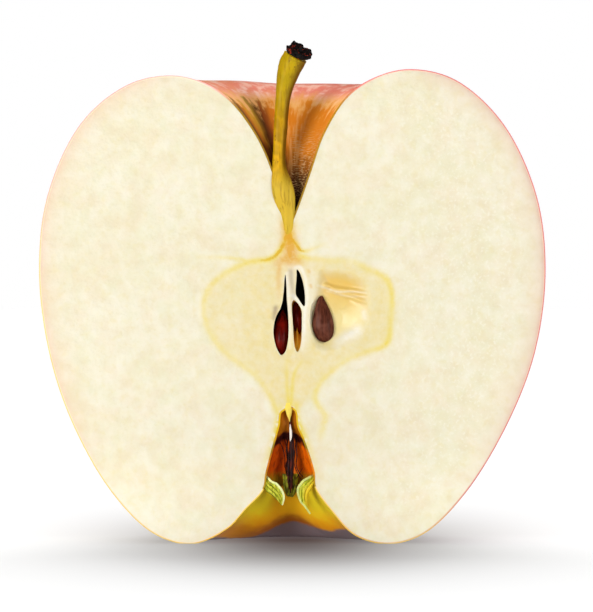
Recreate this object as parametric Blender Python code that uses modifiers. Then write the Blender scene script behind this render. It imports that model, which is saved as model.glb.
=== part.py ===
"""Half an apple, cut from stem to calyx and standing upright on its lobes.

The cut face looks along -Y and the rounded back along +Y. The origin is on the
floor, in the middle of the half's footprint. Sizes below are in millimetres and
are turned into metres where points are made.

The fruit is one solid with its stem funnel, calyx tube and seed chambers cut in.
The stem, the seeds, the sepals and the pistil are pieces of their own, each held
a hair's breadth clear of what it touches.
"""

import math

import bmesh
import bpy
from mathutils import Vector

MM = 0.001

# Driving dimensions
CUT_Y = -18.5  # the plane of the knife
CORE_X = -0.5  # the core's axis, a little left of the middle
BACK_SHARE = 0.975  # how deep the back is, as a share of the fruit's radius
FIT_GAP = 0.35  # room left round a piece that sits in the fruit

# The cut outline on each side of the core, from the stem's pit over the shoulder, down
# the flank, under the sole and up the calyx tube: (radius, height).
RIGHT_OUTLINE = (
    (0.0, 50.6), (1.3, 53.9), (3.1, 59.0), (5.3, 65.2), (9.1, 71.1), (13.5, 74.0),
    (19.0, 75.3), (26.1, 73.7), (33.7, 66.9), (39.1, 55.5), (40.6, 43.5), (39.0, 30.7),
    (34.7, 19.3), (27.8, 7.9), (21.2, 1.5), (15.5, -0.1), (10.3, 1.3), (6.7, 5.0),
    (3.9, 9.0), (3.7, 11.2), (2.1, 16.7), (0.9, 20.6), (0.0, 21.6),
)
LEFT_OUTLINE = (
    (0.0, 50.6), (1.3, 54.0), (2.8, 59.6), (5.4, 65.2), (9.6, 70.6), (13.8, 73.4),
    (18.8, 74.6), (25.6, 73.1), (33.0, 66.9), (38.4, 55.5), (39.8, 43.5), (38.3, 30.7),
    (34.6, 19.3), (28.1, 7.9), (21.5, 1.5), (15.5, -0.1), (9.8, 2.4), (7.0, 5.4),
    (4.1, 8.6), (3.6, 11.2), (2.3, 16.2), (1.2, 20.4), (0.0, 21.6),
)
SPAN_POINTS = 3  # points from one outline point to the next
TURN_STEPS = 36  # steps of the half turn from the right side to the left

# The back is lobed, five lobes to a whole fruit, with a valley at its middle.
LOBES = 5
LOBE_AZIMUTH = math.radians(51)
LOBE_SWELL = 0.012  # of the radius
VALLEY_HEIGHT = 2.0  # how far the sole rises in a valley
VALLEY_REACH = 14.0  # height over which that fades out
SOLE_SPREAD = 0.2  # how much further out a back lobe meets the floor
SPREAD_REACH = 26.0
SOLE_DROP = 0.9  # how much of a back lobe's sole the floor flattens
DROP_REACH = 5.0
SHOULDER_WAVE = 0.5  # how far the shoulder dips in a valley
SHOULDER_DIP = 1.3  # and how far it sags at the back on the right
SHOULDER_REACH = 15.0

# The stem's centre line and thickness, from its seat in the pit to the scar where it broke
# off the twig: (x, y behind the cut, z, radius).
STEM_LINE = (
    (-0.9, 0.9, 50.1, 0.55),
    (-0.95, 0.7, 52.7, 1.22),
    (-1.3, 0.4, 54.8, 1.58),
    (-1.76, 0.3, 56.9, 1.57),
    (-2.15, 0.45, 59.3, 1.17),
    (-2.2, 0.7, 62.0, 0.99),
    (-1.97, 1.1, 66.2, 1.09),
    (-1.7, 1.4, 69.9, 1.12),
    (-1.32, 1.35, 72.4, 1.36),
    (-0.87, 1.1, 74.3, 1.7),
    (-0.35, 0.8, 75.8, 1.93),
    (0.45, 0.4, 77.3, 1.98),
    (0.95, 0.2, 78.2, 1.95),
)
STEM_SPAN_POINTS = 3

# Seeds: (name, x, y behind the cut, z, half width, half depth, half length, lean, taper).
SEEDS = (
    ("seed_right", 4.95, 1.4, 35.7, 1.75, 1.05, 3.9, -0.35, 0.7),
    ("seed_left", -1.9, 2.4, 33.4, 1.15, 1.75, 3.4, 0.2, 0.6),
    ("seed_middle", 0.7, 3.0, 37.0, 0.75, 1.6, 2.8, -0.2, 0.6),
)

# Seed chambers opened by the knife, in the same terms.
CHAMBERS = (
    ("right_chamber", 7.4, 0.0, 37.3, 4.7, 3.3, 6.8, -0.3, 0.2),
    ("left_chamber", -1.65, 1.8, 36.1, 1.25, 4.4, 6.4, 0.35, 0.8),
    ("middle_chamber", 0.65, 1.8, 34.5, 0.9, 4.2, 4.5, -0.1, 0.2),
    ("empty_chamber", 1.15, 1.4, 40.7, 0.85, 3.6, 3.1, -0.45, 0.1),
)

# Sepals fold in over the mouth of the calyx tube and hang down from it, and some curl
# outwards: (distance from the core, height, width, distance gained by a full curl).
SEPAL_LINE = (
    (3.1, 10.0, 1.8, 0.0),
    (2.4, 9.9, 1.9, 0.0),
    (1.8, 9.0, 1.6, 0.0),
    (1.5, 7.8, 1.2, 0.3),
    (1.45, 6.6, 0.8, 1.0),
    (1.5, 5.6, 0.35, 1.8),
)
SEPALS = ((24, 1.0), (88, 0.5), (153, 0.1))  # degrees round the back, and curl
SEPAL_THICKNESS = 0.4

# The dried pistil in the calyx tube: (x, y behind the cut, z, radius).
PISTIL_LINE = (
    (-0.5, 1.0, 18.6, 0.3),
    (-0.4, 0.9, 15.5, 0.5),
    (-0.35, 0.8, 12.0, 0.45),
    (-0.3, 0.7, 8.6, 0.3),
)


def smooth_line(points, span_points):
    """Points on a centripetal Catmull-Rom curve through the given ones, of any dimension."""
    knots = [Vector(p) for p in points]
    knots = [2 * knots[0] - knots[1], *knots, 2 * knots[-1] - knots[-2]]
    line = []
    for before, start, end, after in zip(knots, knots[1:], knots[2:], knots[3:]):
        t0 = 0.0
        t1 = t0 + math.sqrt((start - before).length)
        t2 = t1 + math.sqrt((end - start).length)
        t3 = t2 + math.sqrt((after - end).length)
        for step in range(span_points):
            t = t1 + (t2 - t1) * step / span_points
            a1 = before.lerp(start, (t - t0) / (t1 - t0))
            a2 = start.lerp(end, (t - t1) / (t2 - t1))
            a3 = end.lerp(after, (t - t2) / (t3 - t2))
            b1 = a1.lerp(a2, (t - t0) / (t2 - t0))
            b2 = a2.lerp(a3, (t - t1) / (t3 - t1))
            line.append(b1.lerp(b2, (t - t1) / (t2 - t1)))
    return [*line, knots[-2]]


def fade(height, reach):
    """1 at the floor, falling smoothly to 0 at a height of reach."""
    share = min(max(height / reach, 0.0), 1.0)
    return (1 - share) ** 2 * (1 + 2 * share)


def fruit_point(right, left, azimuth):
    """The point of the fruit's surface at one azimuth, between the two cut outlines."""
    share = (1 - math.cos(azimuth)) / 2
    radius, height = right.lerp(left, share)
    behind = math.sin(azimuth) ** 2
    lobe = math.cos(LOBES * (azimuth - LOBE_AZIMUTH))
    on_lobe, in_valley = behind * (1 + lobe) / 2, behind * (1 - lobe) / 2
    outside = min(radius / RIGHT_OUTLINE[15][0], 1.0) ** 2
    radius *= 1 + behind * LOBE_SWELL * lobe * outside
    radius *= 1 + SOLE_SPREAD * on_lobe * fade(height, SPREAD_REACH) * outside
    height += VALLEY_HEIGHT * in_valley * fade(height, VALLEY_REACH)
    height -= SOLE_DROP * on_lobe * fade(height, DROP_REACH)
    at_shoulder = fade(RIGHT_OUTLINE[6][1] - height, SHOULDER_REACH)
    height -= SHOULDER_WAVE * in_valley * at_shoulder
    height -= SHOULDER_DIP * max(math.sin(2 * azimuth), 0.0) ** 2 * at_shoulder
    return Vector(
        (
            CORE_X + radius * math.cos(azimuth),
            CUT_Y + radius * math.sin(azimuth) * BACK_SHARE,
            height,
        )
    )


def new_object(name, data, home):
    made = bpy.data.objects.new(name, data)
    home.objects.link(made)
    return made


def mesh_object(name, shape, home):
    """An object from a finished bmesh, which is freed."""
    bmesh.ops.recalc_face_normals(shape, faces=shape.faces)
    data = bpy.data.meshes.new(name)
    shape.to_mesh(data)
    shape.free()
    return new_object(name, data, home)


def as_mesh(made, home):
    """The evaluated object as a plain mesh object in its place, with its loose caps welded."""
    graph = bpy.context.evaluated_depsgraph_get()
    data = bpy.data.meshes.new_from_object(made.evaluated_get(graph))
    place, name = made.matrix_world.copy(), made.name
    bpy.data.objects.remove(made)
    shape = bmesh.new()
    shape.from_mesh(data)
    bpy.data.meshes.remove(data)
    bmesh.ops.remove_doubles(shape, verts=shape.verts, dist=0.001 * MM)
    solid = mesh_object(name, shape, home)
    solid.matrix_world = place
    return solid


def finish(name, colour, roughness):
    """A plain non-metal finish."""
    made = bpy.data.materials.new(name)
    made.use_nodes = True
    shader = made.node_tree.nodes["Principled BSDF"]
    shader.inputs["Base Color"].default_value = (*colour, 1.0)
    shader.inputs["Roughness"].default_value = roughness
    shader.inputs["Metallic"].default_value = 0.0
    return made


def dress(made, material, sharp_degrees=30):
    made.data.materials.append(material)
    made.data.shade_smooth()
    made.data.set_sharp_from_angle(angle=math.radians(sharp_degrees))


def turned_half(name, outline, home):
    """An outline turned half round the core with a Screw, from the right side to the left."""
    data = bpy.data.meshes.new(name)
    points = [(radius * MM, 0.0, height * MM) for radius, height in outline]
    data.from_pydata(points, [(i, i + 1) for i in range(len(points) - 1)], [])
    made = new_object(name, data, home)
    screw = made.modifiers.new("half turn", "SCREW")
    screw.axis = "Z"
    screw.angle = math.pi
    screw.steps = screw.render_steps = TURN_STEPS
    screw.use_merge_vertices = False
    graph = bpy.context.evaluated_depsgraph_get()
    turned = bpy.data.meshes.new_from_object(made.evaluated_get(graph))
    bpy.data.objects.remove(made)
    return turned


def fruit_body(home):
    """The closed half fruit: turned, shaped point by point, cut flat in front and under its soles."""
    right = smooth_line(RIGHT_OUTLINE, SPAN_POINTS)
    left = smooth_line(LEFT_OUTLINE, SPAN_POINTS)
    turned = turned_half("apple_half", right, home)
    shape = bmesh.new()
    shape.from_mesh(turned)
    bpy.data.meshes.remove(turned)
    for vert in shape.verts:
        step, place = divmod(vert.index, len(right))
        azimuth = math.pi * step / TURN_STEPS
        vert.co = fruit_point(right[place], left[place], azimuth) * MM
    bmesh.ops.remove_doubles(shape, verts=shape.verts, dist=0.001 * MM)
    bmesh.ops.holes_fill(shape, edges=[e for e in shape.edges if e.is_boundary], sides=0)
    everything = [*shape.verts, *shape.edges, *shape.faces]
    bmesh.ops.bisect_plane(
        shape, geom=everything, plane_co=(0, 0, 0), plane_no=(0, 0, -1), clear_outer=True
    )
    bmesh.ops.holes_fill(shape, edges=[e for e in shape.edges if e.is_boundary], sides=0)
    return mesh_object("apple_half", shape, home)


def pod(name, x, behind, z, half_width, half_depth, half_length, lean, taper, home, wider=0.0):
    """A rounded pod that narrows towards its top and leans sideways with height."""
    shape = bmesh.new()
    bmesh.ops.create_uvsphere(shape, u_segments=16, v_segments=12, radius=1.0)
    for vert in shape.verts:
        up = vert.co.z
        # divided so that the half width is the one at the widest ring
        narrow = (1 - taper * ((up + 1) / 2) ** 1.5) / (1 - 0.28 * taper)
        vert.co = Vector(
            (
                x + vert.co.x * (half_width * narrow + wider) + lean * up,
                CUT_Y + behind + vert.co.y * (half_depth * narrow + wider),
                z + up * (half_length + wider),
            )
        ) * MM
    return mesh_object(name, shape, home)


def tapered_tube(name, line, span_points, home, wider=0.0, bevel_resolution=4):
    """A tube along (x, y behind the cut, z, radius) points, made a mesh with closed ends."""
    path = smooth_line(line, span_points)
    data = bpy.data.curves.new(name, "CURVE")
    data.dimensions = "3D"
    data.bevel_depth = 1.0 * MM
    data.bevel_resolution = bevel_resolution
    data.use_fill_caps = True
    spline = data.splines.new("POLY")
    spline.points.add(len(path) - 1)
    for point, (x, behind, z, radius) in zip(spline.points, path):
        point.co = (x * MM, (CUT_Y + behind) * MM, z * MM, 1.0)
        point.radius = radius + wider
    return as_mesh(new_object(name, data, home), home)


def sepal(name, azimuth, curl, home):
    """One sepal: a narrowing strip bent along its line, thickened into a small leaf."""
    line = smooth_line(SEPAL_LINE, 2)
    shape = bmesh.new()
    bmesh.ops.create_grid(shape, x_segments=2, y_segments=len(line) - 1, size=1.0)
    for vert in shape.verts:
        across = vert.co.x
        distance, height, width, spread = line[round((vert.co.y + 1) / 2 * (len(line) - 1))]
        # a leaf's edges stand a little further out than its middle
        distance += spread * curl + 0.25 * abs(across)
        vert.co = Vector((distance, across * width / 2, height)) * MM
    made = mesh_object(name, shape, home)
    made.location = Vector((CORE_X, CUT_Y, 0.0)) * MM
    made.rotation_euler.z = math.radians(azimuth)
    solid = made.modifiers.new("leaf thickness", "SOLIDIFY")
    solid.thickness = SEPAL_THICKNESS * MM
    solid.offset = 0.0
    return made


def cut_from(made, cutters):
    for cutter in cutters:
        cut = made.modifiers.new(cutter.name, "BOOLEAN")
        cut.operation = "DIFFERENCE"
        cut.object = cutter


def as_cutter(made):
    made.hide_render = True
    made.display_type = "WIRE"
    return made


def main():
    for old in list(bpy.data.objects):
        bpy.data.objects.remove(old)
    parts = bpy.data.collections.new("apple half")
    tools = bpy.data.collections.new("cutters")
    bpy.context.scene.collection.children.link(parts)
    bpy.context.scene.collection.children.link(tools)

    flesh = finish("cream flesh", (0.9, 0.83, 0.6), 0.45)
    bark = finish("green stem", (0.5, 0.36, 0.03), 0.5)
    husk = finish("brown seed coat", (0.09, 0.03, 0.02), 0.35)
    leaf = finish("dried sepal", (0.45, 0.42, 0.1), 0.6)
    dried = finish("dried pistil", (0.06, 0.02, 0.01), 0.7)

    fruit = fruit_body(parts)
    cutters = [as_cutter(pod(*chamber, tools)) for chamber in CHAMBERS]
    for name, *shape in SEEDS:
        cutters.append(as_cutter(pod(f"{name}_pocket", *shape, tools, wider=FIT_GAP)))
    socket = tapered_tube("stem_socket", STEM_LINE, STEM_SPAN_POINTS, tools, wider=FIT_GAP)
    cut_from(fruit, [*cutters, as_cutter(socket)])
    dress(fruit, flesh)

    dress(tapered_tube("stem", STEM_LINE, STEM_SPAN_POINTS, parts), bark, sharp_degrees=50)
    for seed in SEEDS:
        dress(pod(*seed, parts), husk)
    for number, (azimuth, curl) in enumerate(SEPALS, 1):
        dress(sepal(f"sepal_{number}", azimuth, curl, parts), leaf)
    dress(tapered_tube("pistil", PISTIL_LINE, 3, parts), dried)


main()
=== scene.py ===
import math

import bmesh
import bpy
import numpy as np
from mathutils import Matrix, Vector, noise
from mathutils.geometry import delaunay_2d_cdt


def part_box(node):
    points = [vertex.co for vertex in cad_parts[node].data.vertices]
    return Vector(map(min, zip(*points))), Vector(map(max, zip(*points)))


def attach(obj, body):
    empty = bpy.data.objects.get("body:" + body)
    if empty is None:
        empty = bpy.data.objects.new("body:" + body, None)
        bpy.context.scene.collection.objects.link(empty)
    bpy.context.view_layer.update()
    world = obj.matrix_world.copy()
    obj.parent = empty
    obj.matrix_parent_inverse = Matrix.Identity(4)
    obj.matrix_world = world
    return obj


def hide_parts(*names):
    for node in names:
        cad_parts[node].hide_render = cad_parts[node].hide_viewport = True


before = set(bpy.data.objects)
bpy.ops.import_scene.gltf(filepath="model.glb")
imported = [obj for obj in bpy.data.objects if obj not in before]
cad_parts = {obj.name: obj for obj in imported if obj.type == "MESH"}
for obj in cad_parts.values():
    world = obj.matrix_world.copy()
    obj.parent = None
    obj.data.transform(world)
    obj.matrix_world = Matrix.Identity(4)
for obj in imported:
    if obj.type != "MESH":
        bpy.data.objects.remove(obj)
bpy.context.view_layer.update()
mm = 0.001
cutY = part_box("apple_half")[0].y / mm  # the knife's plane; lengths below are in millimetres
coreX = -0.5  # the core's axis
nudges = np.random.default_rng(11)
print("frame loaded, knife plane at", round(cutY, 2), "mm")


# lines and spots lie in the plane of the cut, x to the right and z up
def smoothLine(points, steps, closed=False):
    # a curve through points of any number of values, with steps points from each to the next
    knots = [np.array(point, float) for point in points]
    if closed:
        knots = [knots[-1], *knots, knots[0], knots[1]]
    else:
        knots = [2 * knots[0] - knots[1], *knots, 2 * knots[-1] - knots[-2]]
    counts = steps if isinstance(steps, list) else [steps] * (len(knots) - 3)
    line = []
    for a, b, c, d, count in zip(knots, knots[1:], knots[2:], knots[3:], counts):
        t1 = math.sqrt(np.linalg.norm(b - a))
        t2 = t1 + math.sqrt(np.linalg.norm(c - b))
        t3 = t2 + math.sqrt(np.linalg.norm(d - c))
        for t in np.linspace(t1, t2, count, endpoint=False):
            ab = a + (b - a) * t / t1
            bc = b + (c - b) * (t - t1) / (t2 - t1)
            cd = c + (d - c) * (t - t2) / (t3 - t2)
            abc = ab + (bc - ab) * t / t2
            bcd = bc + (cd - bc) * (t - t1) / (t3 - t1)
            line.append(abc + (bcd - abc) * (t - t1) / (t2 - t1))
    if not closed:
        line.append(knots[-2])
    return np.array(line)


def spanSteps(points, spacing):
    # how many steps of about that spacing fit each span
    points = np.array(points, float)
    return [max(1, round(length / spacing)) for length in np.linalg.norm(np.diff(points, axis=0), axis=1)]


def evenLoop(points, spacing):
    # a closed curve through the points, in even steps
    dense = smoothLine(points, 24, closed=True)
    dense = np.vstack([dense, dense[:1]])
    travelled = np.concatenate([[0], np.cumsum(np.linalg.norm(np.diff(dense, axis=0), axis=1))])
    stops = np.linspace(0, travelled[-1], round(travelled[-1] / spacing), endpoint=False)
    return np.column_stack([np.interp(stops, travelled, dense[:, axis]) for axis in (0, 1)])


def nearSpan(spots, start, end):
    # each spot's distance from a straight span, and the share along it that is nearest
    run = end - start
    share = np.clip(((spots - start) @ run) / max(run @ run, 1e-12), 0, 1)
    return np.linalg.norm(spots - start - share[:, None] * run, axis=1), share


def lineDistance(spots, line, closed=False):
    starts, ends = (line, np.roll(line, -1, axis=0)) if closed else (line[:-1], line[1:])
    nearest = np.full(len(spots), 1e9)
    for start, end in zip(starts, ends):
        nearest = np.minimum(nearest, nearSpan(spots, start, end)[0])
    return nearest


def insideLoop(spots, loop):
    inside = np.zeros(len(spots), bool)
    for (x1, z1), (x2, z2) in zip(loop, np.roll(loop, -1, axis=0)):
        if z1 != z2:
            spans = (z1 > spots[:, 1]) != (z2 > spots[:, 1])
            inside ^= spans & (spots[:, 0] < (x2 - x1) * (spots[:, 1] - z1) / (z2 - z1) + x1)
    return inside


def glow(spots, points, width):
    # strength near a line of (x, z, strength), falling off over the width
    line = smoothLine(points, 6)
    strength = np.zeros(len(spots))
    for start, end in zip(line[:-1], line[1:]):
        away, share = nearSpan(spots, start[:2], end[:2])
        here = start[2] + (end[2] - start[2]) * share
        strength = np.maximum(strength, here * np.exp(-(away / width) ** 2))
    return strength


def ease(values, low, high):
    share = np.clip((np.asarray(values, float) - low) / (high - low), 0, 1)
    return share * share * (3 - 2 * share)


def rough(spots, scale, seed=0):
    # smooth noise from -1 to 1 at 3D spots, scale in lumps per millimetre
    return np.array([noise.noise(Vector(spot) * scale + Vector((seed, -seed, seed))) for spot in spots])


def makePiece(name, verts, faces, finish, uvs, values, weld=0, sharp=40):
    # a mesh from points in millimetres; uvs give each face corner its place for the bake
    data = bpy.data.meshes.new(name)
    data.from_pydata((np.asarray(verts, float) * mm).tolist(), [], faces)
    data.uv_layers.new(name="OFBake").data.foreach_set("uv", np.asarray(uvs, np.float32).ravel())
    for label, numbers in values.items():
        field = data.attributes.new(label, "FLOAT", "POINT")
        field.data.foreach_set("value", np.asarray(numbers, np.float32))
    shape = bmesh.new()
    shape.from_mesh(data)
    if weld:
        bmesh.ops.remove_doubles(shape, verts=shape.verts, dist=weld * mm)
    bmesh.ops.recalc_face_normals(shape, faces=shape.faces)
    shape.to_mesh(data)
    shape.free()
    data.shade_smooth()
    data.set_sharp_from_angle(angle=math.radians(sharp))
    piece = bpy.data.objects.new(name, data)
    bpy.context.scene.collection.objects.link(piece)
    data.materials.append(finish.material)
    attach(piece, "root")
    print("made", name, "with", len(data.polygons), "faces")
    return piece


def chart(low, size, across, up):
    # places in the bake's square: shares of a box with that low corner and size
    return np.column_stack([low[0] + size[0] * across, low[1] + size[1] * up])


def stripShares(rows, sides):
    # how far up and round the points of stacked rings lie
    return {"up": np.repeat(np.arange(rows) / rows, sides), "turn": np.tile(np.arange(sides) / sides, rows)}


def gridFaces(rows, columns, start=0, wrap=False):
    # quads over a grid of points kept row by row
    faces = []
    for row in range(rows - 1):
        for column in range(columns if wrap else columns - 1):
            after = (column + 1) % columns
            faces.append((
                start + row * columns + column, start + row * columns + after,
                start + (row + 1) * columns + after, start + (row + 1) * columns + column,
            ))
    return faces


def tubeFaces(rows, sides):
    # quads between stacked rings, and a cap at both ends
    faces = gridFaces(rows, sides, wrap=True)
    return [*faces, tuple(range(sides)), tuple(range((rows - 1) * sides, rows * sides))]


def sheetFaces(rows, columns):
    # a front grid and a back grid of points, joined round their border
    count = rows * columns
    grid = np.arange(count).reshape(rows, columns)
    loop = np.concatenate([grid[0], grid[1:, -1], grid[-1, -2::-1], grid[-2:0:-1, 0]]).tolist()
    rim = [(a, b, count + b, count + a) for a, b in zip(loop, loop[1:] + loop[:1])]
    return gridFaces(rows, columns) + gridFaces(rows, columns, count) + rim


def joinParts(parts):
    # several (verts, faces, values) as one; a value that a part lacks is 0 there
    verts, faces = [], []
    for partVerts, partFaces, _ in parts:
        start = sum(len(part) for part in verts)
        verts.append(partVerts)
        faces += [tuple(start + i for i in face) for face in partFaces]
    values = {label: np.concatenate([part[2].get(label, np.zeros(len(part[0]))) for part in parts])
              for label in parts[0][2]}
    return np.vstack(verts), faces, values


black = (0, 0, 0, 1)
white = (1, 1, 1, 1)


def tone(red, green, blue):
    # a colour as seen on a screen, made linear
    return (*[((part / 255 + 0.055) / 1.055) ** 2.4 if part > 10 else part / 255 / 12.92
              for part in (red, green, blue)], 1.0)


class Wire:
    # a node's output, usable in sums
    def __init__(self, finish, socket):
        self.finish = finish
        self.socket = socket

    def math(self, operation, *values):
        return self.finish.node("ShaderNodeMath", {"operation": operation}, dict(enumerate(values)))

    def __add__(self, other):
        return self.math("ADD", self, other)

    def __radd__(self, other):
        return self.math("ADD", other, self)

    def __sub__(self, other):
        return self.math("SUBTRACT", self, other)

    def __rsub__(self, other):
        return self.math("SUBTRACT", other, self)

    def __mul__(self, other):
        return self.math("MULTIPLY", self, other)

    def __rmul__(self, other):
        return self.math("MULTIPLY", other, self)

    def __truediv__(self, other):
        return self.math("DIVIDE", self, other)

    def __rtruediv__(self, other):
        return self.math("DIVIDE", other, self)

    def __pow__(self, other):
        return self.math("POWER", self, other)

    def __rpow__(self, other):
        return self.math("POWER", other, self)

    def clipped(self):
        return self.math("MINIMUM", self.math("MAXIMUM", self, 0), 1)

    def ease(self, low, high, start=0, end=1):
        # a smooth step from start to end as this goes from low to high
        return self.finish.node("ShaderNodeMapRange", {"interpolation_type": "SMOOTHSTEP"}, {
            "Value": self, "From Min": low, "From Max": high, "To Min": start, "To Max": end})

    def bell(self, reach, power=2):
        # 1 at zero, falling off over the reach to both sides
        return math.e ** (-1 * (self / reach) ** power)


class Finish:
    # one material: its look is a table of screen colours, its settings are the shader's
    def __init__(self, name, look, settings):
        self.look = look
        self.colour = None
        self.material = bpy.data.materials.new(name)
        self.material.use_nodes = True
        self.tree = self.material.node_tree
        self.shader = self.tree.nodes["Principled BSDF"]
        for label, value in settings.items():
            self.shader.inputs[label].default_value = value
        place = self.node("ShaderNodeTexCoord", {}, {}, "Object")
        self.place = self.node("ShaderNodeVectorMath", {"operation": "SCALE"}, {0: place, "Scale": 1 / mm})

    def node(self, kind, settings, sockets, out=0):
        made = self.tree.nodes.new(kind)
        for label, value in settings.items():
            if label == "stops":
                while len(made.color_ramp.elements) < len(value):
                    made.color_ramp.elements.new(0.5)
                for stop, (position, colour) in zip(made.color_ramp.elements, value):
                    stop.position = position
                    stop.color = tone(*colour)
            else:
                setattr(made, label, value)
        for label, value in sockets.items():
            if isinstance(value, Wire):
                self.tree.links.new(value.socket, made.inputs[label])
            else:
                made.inputs[label].default_value = value
        return Wire(self, made.outputs[out])

    def field(self, label):
        # a number kept on the mesh's points
        return self.node("ShaderNodeAttribute", {"attribute_name": label}, {}, "Fac")

    def cloud(self, scale, detail=2, place=None, roughness=0.5):
        # noise around 0.5, scale in lumps per millimetre
        return self.node("ShaderNodeTexNoise", {}, {
            "Vector": place or self.place, "Scale": scale, "Detail": detail, "Roughness": roughness})

    def cells(self, scale):
        return self.node("ShaderNodeTexVoronoi", {}, {"Vector": self.place, "Scale": scale}, "Distance")

    def stretch(self, sizes):
        # the place with each axis scaled
        return self.node("ShaderNodeVectorMath", {"operation": "MULTIPLY"}, {0: self.place, 1: sizes})

    def join(self, x, y, z):
        return self.node("ShaderNodeCombineXYZ", {}, {"X": x, "Y": y, "Z": z})

    def parts(self):
        split = self.node("ShaderNodeSeparateXYZ", {}, {0: self.place}).socket.node
        return [Wire(self, split.outputs[axis]) for axis in "XYZ"]

    def ramp(self, value, stops):
        return self.node("ShaderNodeValToRGB", {"stops": stops}, {"Fac": value})

    def blend(self, amount, first, second):
        # from the first colour to the second, each a wire, a colour or a name in the look
        ends = [tone(*self.look[tint]) if isinstance(tint, str) else tint for tint in (first, second)]
        return self.node("ShaderNodeMix", {"data_type": "RGBA"}, {0: amount, 6: ends[0], 7: ends[1]}, 2)

    def layer(self, amount, tint):
        # that much of a tint over the colour so far
        self.colour = self.blend(amount, self.colour, tint)

    def feed(self, sockets, height=None, depth=0.1, strength=0.5):
        # what varies over the surface; height bumps it by depth millimetres
        if height is not None:
            sockets["Normal"] = self.node("ShaderNodeBump", {}, {
                "Strength": strength, "Distance": depth * mm, "Height": height})
        for label, wire in {"Base Color": self.colour, **sockets}.items():
            self.tree.links.new(wire.socket, self.shader.inputs[label])


# both cut outlines as (radius, height), and what the back does between them
fruit = {
    "right": [
        (0, 50.6), (1.3, 53.9), (3.1, 59), (5.3, 65.2), (9.1, 71.1), (13.5, 74),
        (19, 75.3), (26.1, 73.7), (33.7, 66.9), (39.1, 55.5), (40.6, 43.5), (39, 30.7),
        (34.7, 19.3), (27.8, 7.9), (21.2, 1.5), (15.5, -0.1), (10.3, 1.3), (6.7, 5),
        (3.9, 9), (3.7, 11.2), (2, 16.6), (1.15, 18.6), (0.8, 21), (0, 21.6)],
    "left": [
        (0, 50.6), (1.3, 54), (2.8, 59.6), (5.4, 65.2), (9.6, 70.6), (13.8, 73.2),
        (18.8, 74.3), (25.6, 72.9), (33, 66.9), (38.4, 55.5), (39.8, 43.5), (38.3, 30.7),
        (34.6, 19.3), (28.1, 7.9), (21.5, 1.5), (15.5, -0.1), (9.8, 2.4), (7, 5.4),
        (4.1, 8.6), (3.6, 11.2), (2.3, 16.2), (1.6, 18.8), (1.3, 20.8), (0, 21.5)],
    "mouth": 18,  # the outline point where the peel ends and the calyx tube begins
    "spacing": 0.5,  # between points along the outline
    "peel": 0.28,  # the peel's thickness
    "soleRadius": 15.5, "middleHeight": 38, "shoulderHeight": 75.3, "halfWidth": 40,
    "backShare": 0.975,  # how deep the back is, as a share of its width
    "lobes": 5, "lobeAt": math.radians(51), "lobeSwell": 0.012,
    "valleyHeight": 2, "valleyReach": 14, "valleyShut": (11, 15.5),  # between the lobes' soles
    "soleSpread": 0.2, "spreadReach": 26, "soleDrop": 0.9, "dropReach": 5,
    "shoulderWave": 0.5, "shoulderDip": 1.3, "shoulderReach": 15,
}


def fade(height, reach):
    share = np.clip(height / reach, 0, 1)
    return (1 - share) ** 2 * (1 + 2 * share)


def fruitSurface(right, left, azimuths):
    # points (azimuth, place along the outline, xyz) from the right side round the back to the left
    azimuths = np.asarray(azimuths, float)[:, None]
    share = (1 - np.cos(azimuths)) / 2
    radius = right[:, 0] * (1 - share) + left[:, 0] * share
    height = right[:, 1] * (1 - share) + left[:, 1] * share
    behind = np.sin(azimuths) ** 2
    lobe = np.cos(fruit["lobes"] * (azimuths - fruit["lobeAt"]))
    onLobe, inValley = behind * (1 + lobe) / 2, behind * (1 - lobe) / 2
    outside = np.minimum(radius / fruit["soleRadius"], 1) ** 2
    radius = radius * (1 + behind * fruit["lobeSwell"] * lobe * outside)
    radius = radius * (1 + fruit["soleSpread"] * onLobe * fade(height, fruit["spreadReach"]) * outside)
    inside = 1 - ease(radius, *fruit["valleyShut"])
    height = height + fruit["valleyHeight"] * inValley * inside * fade(height, fruit["valleyReach"])
    height = height - fruit["soleDrop"] * onLobe * fade(height, fruit["dropReach"])
    atShoulder = fade(fruit["shoulderHeight"] - height, fruit["shoulderReach"])
    height = height - fruit["shoulderWave"] * inValley * atShoulder
    height = height - fruit["shoulderDip"] * np.maximum(np.sin(2 * azimuths), 0) ** 2 * atShoulder
    return np.stack([
        coreX + radius * np.cos(azimuths), cutY + radius * np.sin(azimuths) * fruit["backShare"],
        np.maximum(height, 0)], axis=-1)


def innerLine(line, thickness):
    # an outline moved into the flesh
    run = np.gradient(line, axis=0)
    run /= np.linalg.norm(run, axis=1)[:, None]
    moved = line + thickness * np.column_stack([run[:, 1], -run[:, 0]])
    moved[0] = (0, line[0][1] - thickness)
    moved[-1] = (0, line[-1][1] + thickness)
    moved[:, 0] = np.maximum(moved[:, 0], 0)
    return moved


steps = spanSteps(fruit["right"], fruit["spacing"])
outerRight, outerLeft = smoothLine(fruit["right"], steps), smoothLine(fruit["left"], steps)
innerRight, innerLeft = innerLine(outerRight, fruit["peel"]), innerLine(outerLeft, fruit["peel"])
mouthAt = sum(steps[:fruit["mouth"]])  # the mouth's place among the outline's points
along = np.concatenate([[0], np.cumsum(np.linalg.norm(np.diff(outerRight, axis=0), axis=1))])


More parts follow.
